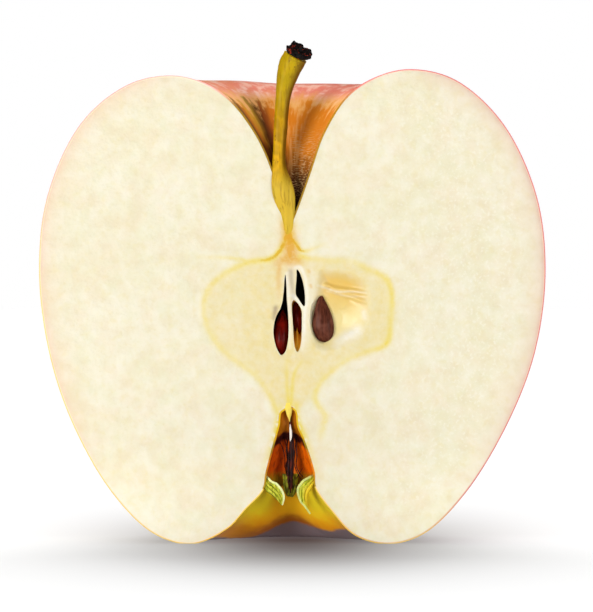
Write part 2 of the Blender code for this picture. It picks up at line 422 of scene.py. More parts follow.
# the cut face and its seed chambers
core = {
    # the wide chamber on the right and the mouths of the three narrow ones
    "bowl": [
        (4.35, 43.5), (6.9, 43.6), (9.4, 43.1), (11.2, 41.9), (12.3, 40), (12.4, 37.5), (12, 35),
        (10.8, 32.9), (8.8, 31.5), (6.7, 30.7), (4.8, 30.5), (3.3, 31.3), (2.7, 33.6), (2.75, 36.8),
        (3.3, 39.3), (3.6, 41.7)],
    # its wall is steep by the seed and long on the right; the seed lies in a nest: middle, halves, depth
    "bowlMiddle": (7.2, 37.2), "bowlDepth": 1.15, "bowlWall": 2.6, "bowlTurn": math.radians(20),
    "nest": ((4.75, 35.6), (2.1, 4.3), 1.2),
    "ridges": [  # folds of the chamber's wall: points, height, width
        ([(5.2, 41), (7.2, 40.4), (9.5, 40.1), (11.8, 39.7)], 0.5, 0.4),
        ([(6.2, 40.1), (8, 39.5), (10, 38.9), (11.6, 38.3)], 0.35, 0.35),
        ([(6.9, 31.4), (8.4, 32.7), (10.2, 33.4), (11.2, 36.2)], 0.12, 0.7)],
    "slits": {  # mouth, depth, how much wider inside, how dark inside (brown walls and painted shade)
        "left": ([
            (-1.2, 42.7), (-1.05, 41), (-0.98, 39), (-0.85, 37.4), (-0.72, 35.5), (-0.7, 33.5),
            (-0.85, 31.8), (-1.3, 30.3), (-1.85, 29.9), (-2.4, 30.6), (-2.88, 32), (-3.1, 33.6),
            (-2.92, 35.2), (-2.5, 36.4), (-2.05, 37.2), (-1.72, 38.2), (-1.52, 39.6), (-1.4, 41),
            (-1.32, 42.2)], 4.6, 0.12, 1.1),
        "top": ([
            (0.62, 43.5), (0.95, 43.2), (1.35, 42.3), (1.65, 41.2), (1.85, 40), (1.92, 38.8),
            (1.9, 37.9), (1.75, 37.65), (1.35, 38.1), (0.9, 38.8), (0.5, 39.4), (0.42, 40.2),
            (0.52, 41.5), (0.58, 42.6)], 4.4, 0.1, 2.6),
        "middle": ([
            (0.1, 38.65), (0.5, 38.4), (1, 37.8), (1.35, 37), (1.42, 35.5), (1.38, 33.5),
            (1.3, 32), (1.05, 30.9), (0.7, 30.4), (0.35, 31), (0.12, 32.4), (0.03, 34),
            (-0.07, 35.6), (-0.18, 37.2), (-0.15, 38.2)], 2.4, 0.1, 0.5)},
    "vein": [  # lines of (x, z, strength), width
        ([(-0.8, 50.9, 1.3), (-0.7, 49.3, 1.3), (-0.6, 48, 0.9)], 0.85),
        ([(-0.2, 48.5, 1), (0.6, 47.3, 1), (1.3, 46.5, 0.9), (2.4, 46.5, 0.5), (4.2, 47.2, 0.25),
          (6, 47.8, 0)], 0.4),
        ([(1.1, 45.6, 0.8), (3, 45.2, 0.5), (5.5, 45, 0.35), (9.2, 44.8, 0.3), (12.3, 43.4, 0.5),
          (14.9, 41.9, 0.75), (15.7, 39.6, 0.75), (15.5, 35.5, 0.6), (14.9, 31.8, 0.85), (11.5, 30.3, 0.5),
          (8.7, 29.2, 0.45), (6, 27.2, 0.5), (4.2, 25.2, 0.55), (3.5, 23.1, 0.6), (4.4, 21.3, 0.6),
          (5.1, 20.3, 0.6), (4.9, 19, 0.5), (4.5, 17.5, 0.4), (4.3, 15.8, 0)], 0.55),
        ([(-0.9, 49.5, 1), (-1.24, 48.2, 1), (-1.97, 46.6, 1), (-2.9, 45.6, 0.95), (-3.75, 45.1, 0.9),
          (-5.2, 44.9, 0.8), (-6.8, 44.7, 0.7), (-8.5, 44.1, 0.65), (-10.2, 43.2, 0.6), (-12.5, 41.5, 0.55),
          (-13.9, 39.4, 0.5), (-14.2, 37.3, 0.42), (-13.4, 33.9, 0.42), (-11.5, 31, 0.45),
          (-8.3, 28.4, 0.45), (-5.7, 26.3, 0.4), (-3.8, 23.7, 0.5), (-2.6, 21, 0.8)], 0.55),
        ([(-6.8, 44.8, 0.6), (-9, 45.2, 0.5), (-12, 45.4, 0.3), (-16.5, 45.4, 0)], 0.35),
        ([(-2.1, 21.6, 0.5), (-2.35, 19.2, 0.9), (-2.75, 17, 1), (-3.4, 14.8, 0.6), (-4.1, 12.3, 0.4),
          (-4.5, 10.8, 0.3)], 0.6),
        ([(0.45, 22, 0.6), (0.75, 19.4, 0.9), (1.6, 17.2, 1), (2.5, 15.2, 0.5), (3.2, 12.8, 0.3),
          (3.6, 11, 0.3)], 0.6),
        ([(-1, 29, 0.3), (-0.95, 25.5, 0.6), (-0.75, 23, 0.8), (-0.6, 21.6, 1)], 0.3),
        ([(1.4, 28.9, 0.4), (0.5, 27.6, 0.5), (0, 26, 0.7), (-0.2, 23.5, 0.8), (-0.3, 21.6, 1)], 0.3)],
    "cork": [  # orange tissue under the stem
        ([(-0.8, 50.4, 0.8), (-0.65, 48.3, 1), (-0.4, 46.6, 1.1), (-0.4, 45.2, 1)], 1.15),
        ([(-2.4, 44.5, 0.6), (-1.5, 45, 0.8), (-0.4, 45.2, 0.9), (0.9, 44.9, 0.6)], 0.7),
        ([(-1.9, 45.3, 0.6), (-2.2, 43.5, 0.6), (-2.25, 41.5, 0.45), (-2.2, 39.3, 0.2)], 0.45),
        ([(2.5, 43.3, 0.5), (2.6, 43.1, 0.5)], 0.22), ([(2.8, 41, 0.5), (2.9, 40.7, 0.5)], 0.22)],
    "white": [  # pale fibrous walls between the chambers; the last two lines are a painted highlight in the wide chamber
        ([(-0.95, 42.9, 0.6), (-0.8, 40.5, 0.8), (-0.65, 38, 0.7), (-0.45, 35, 0.6),
          (-0.5, 31, 0.4)], 0.25),
        ([(0.3, 43.8, 0.9), (1, 43.9, 1), (1.7, 42.9, 1), (2.15, 40.6, 1), (2.2, 38.4, 1), (1.85, 37, 1),
          (1.75, 34, 0.9), (1.5, 30.8, 0.5)], 0.32),
        ([(-0.1, 39.4, 0.9), (0.8, 38.6, 1), (1.7, 37.2, 1)], 0.35),
        ([(3.8, 41, 0.4), (5.4, 40.5, 0.6), (7, 40, 0.7), (9.4, 40, 0.5), (11.6, 39.8, 0.4)], 0.2),
        ([(5.4, 40.1, 0.3), (8.4, 39.3, 0.4), (11.3, 39.2, 0.3)], 0.16),
        ([(7.2, 32, 0.6), (8.6, 32.8, 1), (10.1, 33.7, 1)], 0.95),
        ([(11.2, 36.7, 0.6), (11.4, 35.8, 0.5)], 0.4)],
    "fibre": [  # broader, creamier walls
        ([(-0.5, 43.9, 0.9), (-0.25, 42, 1), (-0.35, 40, 0.9), (-0.4, 38, 0.7), (-0.4, 33, 0.4)], 0.75),
        ([(3, 44, 0.6), (3.1, 41.5, 0.9), (2.7, 38, 0.9), (2.2, 34, 0.7), (1.8, 30.8, 0.3)], 0.85)],
    "grey": [  # grey lines beside the left chamber
        ([(-2.75, 37.4, 0.7), (-3, 35.8, 0.5)], 0.4),
        ([(-0.35, 43.2, 0.5), (-0.2, 41.2, 0.45), (0, 39.4, 0.3), (-0.2, 37, 0.1)], 0.4)],
    "heart": [  # the line round the core's yellower flesh
        (-0.5, 46.4), (1.3, 45.8), (4.5, 45.3), (7.9, 45.1), (11, 44.5), (13.4, 43), (14.9, 41.8),
        (15.6, 40), (15.5, 36), (14.8, 31.9), (11.2, 30.2), (8, 28.8), (6, 27.1), (4.3, 25.2),
        (2.6, 22.6), (0, 21), (-2.5, 21.7), (-3.8, 23.6), (-5.7, 26.3), (-8.3, 28.4), (-11.5, 30.9),
        (-13.4, 33.7), (-14.2, 37.3), (-14, 39.4), (-12.5, 41.6), (-10, 43.3), (-6.8, 44.7),
        (-3.8, 45.1), (-2, 46.3)],
    # the face's points: a box round them all, their spacing, how far rows, nudges and clear borders
    # go as shares of it, and the oval each finer spacing fills: middle, half sizes
    "faceBox": ((-41, 0), (41, 76)), "coarse": 0.5, "rowShare": 0.866, "nudge": 0.16, "clear": 0.4,
    "finer": [(0.3, (0.5, 36), (17.5, 16)), (0.17, (4.6, 37.2), (9, 8.2))],
    "grain": 0.03, "grainSize": 2.2,  # of the flesh's unevenness
    "backSteps": 36,
    "bakeScale": 0.94 / 81,  # the cut face's share of the bake's square for each millimetre
}


def hexSpots(low, high, spacing):
    # staggered spots over a box, each nudged a little
    spots = []
    for number, z in enumerate(np.arange(low[1], high[1], spacing * core["rowShare"])):
        row = np.arange(low[0] + number % 2 * spacing / 2, high[0], spacing)
        spots.append(np.column_stack([row, np.full(len(row), z)]))
    spots = np.vstack(spots)
    return spots + nudges.uniform(-core["nudge"], core["nudge"], spots.shape) * spacing


def inOval(spots, middle, halves):
    return (((spots - middle) / halves) ** 2).sum(axis=1) < 1


def bowlPush(spots, bowl):
    # how deep the wide chamber is
    edge = lineDistance(spots, bowl, closed=True)
    away = spots - core["bowlMiddle"]
    facing = np.maximum(np.cos(np.arctan2(away[:, 1], away[:, 0]) + core["bowlTurn"]), 0)
    share = np.clip(edge / (core["bowlWall"] * (1 + facing ** 1.5)), 0, 1)
    depth = core["bowlDepth"] * share ** 1.4 * (2 - share)
    for points, height, width in core["ridges"]:
        crest = smoothLine(points, 6)
        depth -= height * ease(edge, 0, 2.2) * np.exp(-(lineDistance(spots, crest) / width) ** 2)
    depth = np.where(insideLoop(spots, bowl), depth, 0)
    middle, halves, hollow = core["nest"]
    return np.maximum(depth, hollow * ease(1 - np.linalg.norm((spots - middle) / halves, axis=1), 0, 0.2))


def fleshFace():
    # the cut face: flat spots and triangles, with each slit's mouth left open
    outline = np.vstack([
        np.column_stack([coreX + innerRight[:, 0], innerRight[:, 1]]),
        np.column_stack([coreX - innerLeft[-2:0:-1, 0], innerLeft[-2:0:-1, 1]])])
    outline[:, 1] = np.maximum(outline[:, 1], 0)
    finest = core["finer"][-1][0]
    mouths = {name: evenLoop(slit[0], finest) for name, slit in core["slits"].items()}
    bowl = evenLoop(core["bowl"], finest)
    levels = [(core["coarse"], None), *[(spacing, oval) for spacing, *oval in core["finer"]]]
    kept = []
    for level, (spacing, oval) in enumerate(levels):
        low, high = (np.subtract(*oval), np.add(*oval)) if oval else core["faceBox"]
        spots = hexSpots(low, high, spacing)
        if oval:
            spots = spots[inOval(spots, *oval)]
        if level + 1 < len(levels):
            spots = spots[~inOval(spots, *levels[level + 1][1])]
        spots = spots[insideLoop(spots, outline)]
        spots = spots[lineDistance(spots, outline, closed=True) > core["clear"] * spacing]
        for loop in [*mouths.values(), bowl]:
            near = inOval(spots, loop.mean(axis=0), np.ptp(loop, axis=0) * 0.75)
            clear = np.ones(len(spots), bool)
            clear[near] = lineDistance(spots[near], loop, closed=True) > core["clear"] * spacing
            spots = spots[clear]
        for mouth in mouths.values():
            spots = spots[~insideLoop(spots, mouth)]
        kept.append(spots)
    points, edges = [], []
    for loop in [outline, bowl, *mouths.values()]:
        start = sum(len(part) for part in points)
        points.append(loop)
        edges += [(start + i, start + (i + 1) % len(loop)) for i in range(len(loop))]
    spots = np.vstack([*points, *kept])
    found = delaunay_2d_cdt([Vector(spot) for spot in spots], edges, [], 1, 1e-5)
    spots = np.array([tuple(vert) for vert in found[0]])
    faces = np.array(found[2])
    centres = spots[faces].mean(axis=1)
    for mouth in mouths.values():
        faces = faces[~insideLoop(centres, mouth)]
        centres = spots[faces].mean(axis=1)
    return spots, faces, outline, bowl, mouths


def slitPocket(mouth, depth, wider):
    # walls going back from a slit's mouth, shallow at its foot and closed at the back
    rings, foot, middle = 12, mouth[:, 1].min(), mouth.mean(axis=0)
    verts, depths = [], []
    for ring in range(rings + 1):
        share = ring / rings
        size = (1 + wider * math.sin(math.pi * share)) * math.sqrt(max(1 - share ** 4, 0.003))
        spots = middle + (mouth - middle) * size
        back = depth * share * ease(mouth[:, 1], foot - 2.5, foot + 3.5)
        verts.append(np.column_stack([spots[:, 0], cutY + back, spots[:, 1]]))
        depths.append(back)
    faces = gridFaces(rings + 1, len(mouth), wrap=True)
    faces.append(tuple(range(rings * len(mouth), (rings + 1) * len(mouth))))
    return np.vstack(verts), faces, np.concatenate(depths)


def buildFlesh():
    spots, faces, outline, bowl, mouths = fleshFace()
    print("cut face laid out:", len(spots), "spots")
    border = lineDistance(spots, outline, closed=True)
    push = bowlPush(spots, bowl)
    lumps = np.array([noise.fractal(Vector((x, 0, z)) / core["grainSize"], 1, 2, 3) for x, z in spots])
    calm = ease(border, 0, 0.8)
    for mouth in mouths.values():
        calm *= ease(lineDistance(spots, mouth, closed=True), 0, 0.3)
    push = push + core["grain"] * lumps * calm
    values = {
        "rind": np.minimum(border, 6),
        "side": np.clip(spots[:, 0] / fruit["halfWidth"], -1, 1),
        "bowl": insideLoop(spots, bowl) * ease(lineDistance(spots, bowl, closed=True), -0.3, 2.2),
        "pit": np.zeros(len(spots)),
    }
    for label in ("vein", "cork", "white", "grey", "fibre"):
        values[label] = np.max([glow(spots, *line) for line in core[label]], axis=0)
    heart = smoothLine(core["heart"], 5, closed=True)
    toHeart = lineDistance(spots, heart, closed=True) * np.where(insideLoop(spots, heart), 1, -1)
    values["heart"] = ease(toHeart, -0.8, 1.2)
    values["uv"] = chart((0.5, 0.004), (core["bakeScale"],) * 2, *spots.T)
    parts = [(np.column_stack([spots[:, 0], cutY + push, spots[:, 1]]), faces.tolist(), values)]
    # the slits' walls, darker the deeper they go: brown walls, then painted shade
    for number, (name, mouth) in enumerate(mouths.items()):
        depth, wider, dark = core["slits"][name][1:]
        wall, wallFaces, depths = slitPocket(mouth, depth, wider)
        up, turn = stripShares(len(wall) // len(mouth), len(mouth)).values()
        uvs = chart((0.01 + number * 0.2, 0.955), (0.18, 0.035), turn, up)
        parts.append((wall, wallFaces, {"pit": depths * dark, "uv": uvs}))
    # the back, hidden under the peel; its border is welded to the face's and keeps its side
    azimuths = np.linspace(0, math.pi, core["backSteps"] + 1)
    back = fruitSurface(innerRight, innerLeft, azimuths)
    rows, columns = back.shape[:2]
    back = back.reshape(-1, 3)
    across, down = np.repeat(azimuths / math.pi, columns), np.tile(along / along[-1], rows)
    uvs = chart((0.01, 0.9), (0.98, 0.04), across, down)
    parts.append((back, gridFaces(rows, columns), {"side": back[:, 0] / fruit["halfWidth"], "uv": uvs}))
    verts, faces, values = joinParts(parts)
    uvs = values.pop("uv")
    corners = np.vstack([uvs[list(face)] for face in faces])
    piece = makePiece("flesh", verts, faces, fleshFinish(), corners, values, weld=0.004)
    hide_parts("apple_half")


def fleshFinish():
    look = {
        "pale": (246, 239, 214), "cream": (244, 236, 206), "lemon": (240, 226, 164),
        "green": (234, 234, 196), "peach": (246, 228, 198), "milk": (253, 249, 232),
        "beige": (236, 222, 184), "heart": (240, 218, 140), "vein": (243, 220, 92), "gold": (224, 180, 30),
        "cork": (232, 170, 34), "fibre": (245, 236, 208), "white": (254, 250, 236),
        "grey": (156, 132, 112), "blushRight": (232, 186, 168), "blushLeft": (251, 208, 180),
        "bowl": (242, 198, 88), "bowlPale": (250, 230, 158),
        # how much of all these the flesh gives back, and more of it lower down: painted light where less
        # light reaches the lower flesh
        "light": 0.695, "paintedLightBelow": 0.045, "paintedLightFoot": 0.08,
        "roughness": 0.5, "wet": 0.34,
    }
    flesh = Finish("cream flesh", look, {"IOR": 1.36, "Subsurface Weight": 0.15, "Subsurface Scale": 0.001})
    flesh.shader.inputs["Subsurface Radius"].default_value = (1.4, 1, 0.5)
    z = flesh.parts()[2]
    rind, side, bowl, pit = [flesh.field(label) for label in ("rind", "side", "bowl", "pit")]
    patches, tints = flesh.cloud(0.12), flesh.cloud(0.3)
    mottle, specks = flesh.cloud(0.75, 3), flesh.cloud(2.2)
    clots, fine = flesh.cloud(0.42, 3, roughness=0.55), flesh.cloud(5.5)
    flesh.colour = flesh.blend(patches.ease(0.35, 0.65), "pale", "cream")
    flesh.layer(tints.ease(0.5, 0.64) * 0.25, "green")
    flesh.layer(tints.ease(0.48, 0.36) * 0.3, "peach")
    flesh.layer(mottle.ease(0.5, 0.72) * 0.3, "lemon")
    # pale blotches, and pale specks more on the right: the flesh's pale cells, partly painted highlights on
    # the moist flesh
    flesh.layer(clots.ease(0.46, 0.72) * 0.42, "milk")
    flesh.layer(clots.ease(0.5, 0.3) * 0.4, "beige")
    flesh.layer(specks.ease(0.54, 0.7) * (0.12 + 0.4 * side.ease(0.1, 0.7)) * rind.ease(0.5, 5), "milk")
    flesh.layer(specks.ease(0.42, 0.26) * 0.2, "lemon")
    heart = flesh.field("heart") * (0.56 + 0.9 * (mottle - 0.5))
    flesh.layer(heart * side.ease(-0.3, -0.1, 0.68, 1), "heart")
    # a blush under the peel
    blush = flesh.blend(side.ease(-0.4, 0.4), "blushLeft", "blushRight")
    depth = math.e ** (rind * -0.75) * 0.5 + math.e ** (rind * -4) * 0.25
    depth = depth * (0.45 + 1.1 * tints) * z.ease(4, 26)
    flesh.layer(depth * (side * side).ease(0.14, 0.4), blush)
    # the core
    wobble = flesh.cloud(1.6) - 0.5
    lines = flesh.field("vein") * (1.2 + wobble)
    flesh.layer((lines * 0.85).clipped(), "vein")
    flesh.layer(lines.ease(0.8, 1.15) * z.ease(43.5, 46) * 0.85, "gold")
    # the wide chamber golden above and paler lower down, where it faces the light: the paler part is partly
    # a painted highlight
    fall = (z + 5 * (tints - 0.5)).ease(41, 34.5)
    flesh.layer(bowl * 0.85, flesh.blend(fall, "bowl", "bowlPale"))
    # white also carries a painted highlight in the wide chamber
    for label, uneven, share in ("fibre", 2, 0.8), ("white", 1, 0.85), ("cork", 1, 0.9), ("grey", 0, 1):
        flesh.layer((flesh.field(label) * (1 + uneven * wobble)).clipped() * share, label)
    # amber and brown down the slits' walls, then painted shade to near black deep inside
    pit = pit + wobble * 0.4 * pit.ease(0, 0.5)
    flesh.layer(pit.ease(0, 0.12), flesh.ramp(pit / 4, [
        (0, (248, 226, 150)), (0.1, (246, 186, 60)), (0.3, (214, 118, 14)),
        (0.55, (66, 20, 6)), (0.9, (14, 4, 3))]))
    # lighter towards the foot: painted light
    lit = look["light"] + look["paintedLightBelow"] * z.ease(50, 5) + look["paintedLightFoot"] * z.ease(19, 4)
    flesh.layer(1 - lit, black)
    roughness = look["roughness"] - (look["roughness"] - look["wet"]) * bowl + 0.15 * (fine - 0.5)
    height = clots * 1.2 + mottle * 0.6 + specks * 0.16 + flesh.cells(1.1) * 0.1
    flesh.feed({"Roughness": roughness}, height * (1 - 0.8 * bowl), 0.26, 0.6)
    return flesh


def buildShell(name, first, last, steps, finish, lumps):
    # a thin closed shell round the back, between the outer and the inner line
    azimuths = np.linspace(0, math.pi, steps + 1)
    outer = fruitSurface(outerRight[first:last + 1], outerLeft[first:last + 1], azimuths)
    inner = fruitSurface(innerRight[first:last + 1], innerLeft[first:last + 1], azimuths)
    rows, columns = outer.shape[:2]
    if lumps:
        # soft dents, none at the knife's edge or near the floor
        size = lumps * np.sin(azimuths)[:, None] ** 0.5 * ease(outer[..., 2], 0.5, 8)
        push = size * rough(outer.reshape(-1, 3), 0.07).reshape(rows, columns)
        outward = outer - (coreX, cutY, fruit["middleHeight"])
        outer = outer + push[..., None] * outward / np.linalg.norm(outward, axis=-1, keepdims=True)
    verts = np.vstack([outer.reshape(-1, 3), inner.reshape(-1, 3)])
    count = rows * columns
    faces = sheetFaces(rows, columns)
    reach = along[first:last + 1]
    across = np.repeat(azimuths / math.pi, columns)
    down = np.tile((reach - reach[0]) / (reach[-1] - reach[0]), rows)
    uvs = np.vstack([
        chart((0.01, 0.01), (0.98, 0.87), across, down), chart((0.01, 0.9), (0.98, 0.05), across, down)])
    corners = []
    for number, face in enumerate(np.array(faces)):
        if number < 2 * (rows - 1) * (columns - 1):
            corners.append(uvs[face])
        else:
            # the knife's edge has a strip of its own
            low = (0.01, 0.96 if face[0] < columns else 0.98)
            corners.append(chart(low, (0.98, 0.012), down[face % count], face >= count))
    values = {
        "around": np.tile(across, 2), "down": np.tile(np.tile(reach, rows), 2),
        "inner": np.concatenate([np.zeros(count), np.ones(count)])}
    makePiece(name, verts, faces, finish, np.vstack(corners), values, weld=0.004, sharp=50)


def peelFinish():
    look = {
        "ground": (228, 190, 74), "yellow": (255, 226, 40), "orange": (255, 168, 12),
        "blush": (205, 72, 62), "deep": (168, 36, 42), "pink": (238, 124, 98),
        "russet": (226, 128, 0), "tan": (246, 184, 106),
        "brown": (84, 42, 6), "dark": (26, 12, 5), "hair": (232, 190, 130),
        "dots": (240, 214, 160), "flesh": (250, 226, 190), "rim": (212, 78, 104),
        "rimLeft": (244, 202, 112), "rimShoulder": (244, 166, 168), "olive": (150, 116, 14),
        "mist": (252, 212, 188), "blushEdge": (236, 194, 182), "milk": (250, 226, 198),
        "arch": (142, 124, 128), "sienna": (184, 92, 12),
        "light": 0.6,  # how much of all these the peel gives back
        "roughness": 0.34,
    }
    peel = Finish("blushed peel", look, {"IOR": 1.4, "Specular IOR Level": 0.25, "Coat Roughness": 0.2,
                                         "Subsurface Weight": 0.05, "Subsurface Scale": 0.001})
    around, down, inner = [peel.field(label) for label in ("around", "down", "inner")]
    z, turn = peel.parts()[2], around * math.pi
    ring = peel.join(turn.math("COSINE", turn), turn.math("SINE", turn), down * 0.02)
    streaks = peel.cloud(9, 4, ring, roughness=0.6)
    fineStreaks = peel.cloud(34, 3, ring)
    clouds, lumps = peel.cloud(0.05, 3), peel.cloud(0.6, 3)
    # blush is strongest on the right and over the shoulder, weak on the left and under the sole
    amount = 0.37 - 0.5 * around + z.ease(5, 40) * 0.45 + (clouds - 0.5) * 1.4 + (streaks - 0.5) * 1.1
    blush = amount.ease(0.05, 0.75) * down.ease(150, 122)
    peel.colour = peel.blend(blush, "ground", "blush")
    peel.layer(fineStreaks.ease(0.55, 0.75) * blush * 0.6, "deep")
    peel.layer(fineStreaks.ease(0.42, 0.25) * 0.3, "pink")
    dots = peel.cells(0.42)
    peel.layer(dots.ease(0.13, 0.05) * 0.6 * down.ease(26, 36), "dots")
    # the basin below: yellow, orange at its lowest
    basin = down.ease(126, 132)
    glow = peel.blend((z + (lumps - 0.5) * 2).ease(5.6, 1.6), "yellow", "orange")
    middle = around.ease(0.3, 0.45) * around.ease(0.72, 0.58)
    glow = peel.blend(middle * 0.65, glow, "orange")
    # the basin darkens towards the floor: painted shade
    sole = (down + 2 * (lumps - 0.5)).ease(136.6, 133.6) * around.ease(0.8, 0.6, 0.2, 0.8)
    peel.layer(basin, peel.blend(sole, glow, "sienna"))
    # deep shade where the back's lobes leave an arch over the table
    lift = 2.5 * around.ease(0.04, 0.12) * around.ease(0.45, 0.3) - 1.7 * around.ease(0.58, 0.75)
    peel.layer((down + lumps - lift).ease(134.2, 133.4) * down.ease(126, 129), "arch")
    peel.layer(around.ease(0.12, 0.07) * down.ease(134, 132) * down.ease(127, 130), "dark")
    # the funnel round the stem
    feather = (streaks - 0.5) * 12 + (lumps - 0.5) * 7
    peel.layer(down.ease(36, 29) * 0.8, "pink")
    peel.layer((streaks + 0.9 * (lumps - 0.5)).ease(0.4, 0.75) * down.ease(36, 30) * 0.7, "mist")
    peel.layer((down + feather * 0.6).ease(27, 22), "tan")
    russet = peel.ramp(around + 0.08 * (streaks - 0.5), [
        (0, look["russet"]), (0.6, look["russet"]), (0.68, (150, 64, 8)), (0.73, (74, 32, 4)),
        (0.785, (216, 168, 46)), (0.84, (204, 118, 16)), (0.9, (92, 46, 6)), (0.985, (120, 84, 14))])
    peach = around.ease(0.34, 0.4) * around.ease(0.56, 0.5) * streaks.ease(0.42, 0.6)
    peel.layer((down + feather * 1.3).ease(24, 20) * 0.92, peel.blend(peach * 0.6, russet, "tan"))
    # darker deep in the funnel and higher up its left wall: painted shade
    funnelShade = down - 4 * around.ease(0.5, 0.62)
    peel.layer((funnelShade + feather * 0.5).ease(14, 7), "brown")
    peel.layer(funnelShade.ease(8, 3), "dark")
    # hair-fine dashes across the funnel
    hair = peel.cloud(1.8, 2, peel.join(turn * 2.2, down * 3.4, 0))
    dashes = hair.ease(0.5, 0.64) * around.ease(0.52, 0.44) * 0.7
    peel.layer(dashes * down.ease(19, 13) * down.ease(3, 8), "hair")
    # the cut edge
    edge = around.ease(0.012, 0) + around.ease(0.988, 1)
    rim = peel.blend(z.ease(62, 40), "rimShoulder", "rimLeft")
    rim = peel.blend(around.ease(0.4, 0.6), "rim", rim)
    rim = peel.blend(down.ease(27, 20), rim, "olive")
    rim = peel.blend(down.ease(112, 125), rim, "ground")
    # towards the flesh the cut edge fades to a pale blush
    paler = peel.blend(around.ease(0.4, 0.6), "blushEdge", "milk")
    rim = peel.blend(inner.ease(0.35, 0.95) * down.ease(24, 30), rim, paler)
    peel.layer(edge * 0.85, rim)
    peel.layer(inner * 0.6 * (1 - basin) * down.ease(20, 30), "flesh")
    # brighter in the basin, the funnel and on the cut edge: painted light where less light falls there
    funnel = down.ease(40, 26)
    lit = (basin + 0.6 * funnel + edge * around.ease(0.3, 0.7, 0.5, 0.75)).clipped()
    lit = look["light"] + (1 - look["light"]) * lit
    peel.layer(1 - lit, black)
    roughness = look["roughness"] + 0.36 * down.ease(27, 20) + 0.08 * (clouds - 0.5)
    height = peel.cloud(2.2, 2) * 0.5 + dots.ease(0.05, 0.14) * 0.4 + hair * down.ease(24, 14) * 1.5
    peel.feed({"Roughness": roughness, "Coat Weight": 0.4 * (1 - basin) * (1 - funnel)}, height, 0.06, 0.4)
    return peel


def tubeFinish():
    look = {
        "orange": (226, 100, 2), "left": (190, 72, 2), "dark": (50, 8, 6), "olive": (140, 118, 10),
        "prong": (170, 96, 8), "edge": (214, 180, 20)}
    tube = Finish("calyx tube lining", look, {"IOR": 1.38, "Specular IOR Level": 0.2})
    around, (x, _, z) = tube.field("around"), tube.parts()
    streaks, lumps = tube.cloud(1, 3, tube.stretch((2.5, 2.5, 0.5))), tube.cloud(0.9)
    tube.colour = tube.blend(around.ease(0.35, 0.65), "orange", "left")
    tube.layer(streaks.ease(0.5, 0.7) * 0.5, "dark")
    # the ring where the stamens stood, lower towards the cut, with a brown crown above
    sag = z + (x - coreX) * (x - coreX) * 0.24 + (lumps - 0.5) * 1.4
    tube.layer(sag.ease(17.2, 17.9), "prong")
    tube.layer(sag.ease(16.1, 16.8) * sag.ease(18, 17.4), "dark")
    tube.layer((z + (lumps - 0.5) * 1.5).ease(11.8, 9.8) * 0.85, "olive")
    cut = around.ease(0.03, 0) + around.ease(0.97, 1)
    tube.layer(cut * z.ease(14, 19, 0.25, 0.8), "edge")
    tube.feed({"Roughness": 0.5 + 0.2 * (streaks - 0.5)}, streaks + lumps, 0.25)
    return tube


def sweep(path, sides, reshape):
    # rings square to a line of (x, behind the cut, z, radius)
    centre = np.column_stack([path[:, 0], cutY + path[:, 1], path[:, 2]])
    run = np.gradient(centre, axis=0)
    run /= np.linalg.norm(run, axis=1)[:, None]
    across = np.cross(run, (0, 1, 0))
    across /= np.linalg.norm(across, axis=1)[:, None]
    front = np.cross(across, run)
    angles = np.arange(sides) / sides * 2 * math.pi
    radius = reshape(path[:, 3][:, None] * np.ones(sides), angles, path)
    rings = (centre[:, None] + radius[..., None] * (
        across[:, None] * np.cos(angles)[None, :, None] + front[:, None] * np.sin(angles)[None, :, None]))
    return rings.reshape(-1, 3), tubeFaces(len(path), sides)


# the stem's centre line as (x, y behind the cut, z, radius)
stem = {
    "line": [
        (-0.7, 0.8, 48, 0.3), (-0.72, 0.7, 49.2, 0.74), (-0.82, 0.65, 50.7, 1), (-0.97, 0.6, 52.7, 1.25),
        (-1.3, 0.4, 54.8, 1.58), (-1.76, 0.3, 56.9, 1.57), (-2.15, 0.45, 59.3, 1.17),
        (-2.2, 0.7, 62, 0.99), (-1.97, 1.1, 66.2, 1.09), (-1.7, 1.4, 69.9, 1.12),
        (-1.32, 1.35, 72.4, 1.36), (-0.87, 1.1, 74.3, 1.7), (-0.35, 0.8, 75.8, 1.93),
        (0.45, 0.4, 77.3, 1.98)],
    "sides": 56, "flutes": 5, "fluteDepth": 0.035, "twist": 0.05,
    # the dark scar where it broke off the branch: middle, its long axis and its facing
    "scar": (0.98, 0.3, 78), "scarLong": (0.93, 0, -0.36), "scarFacing": (0.3, -0.545, 0.78),
    "scarSize": (2.15, 2), "scarRagged": 0.42, "crownHeight": 0.55, "dents": 0.05,
}


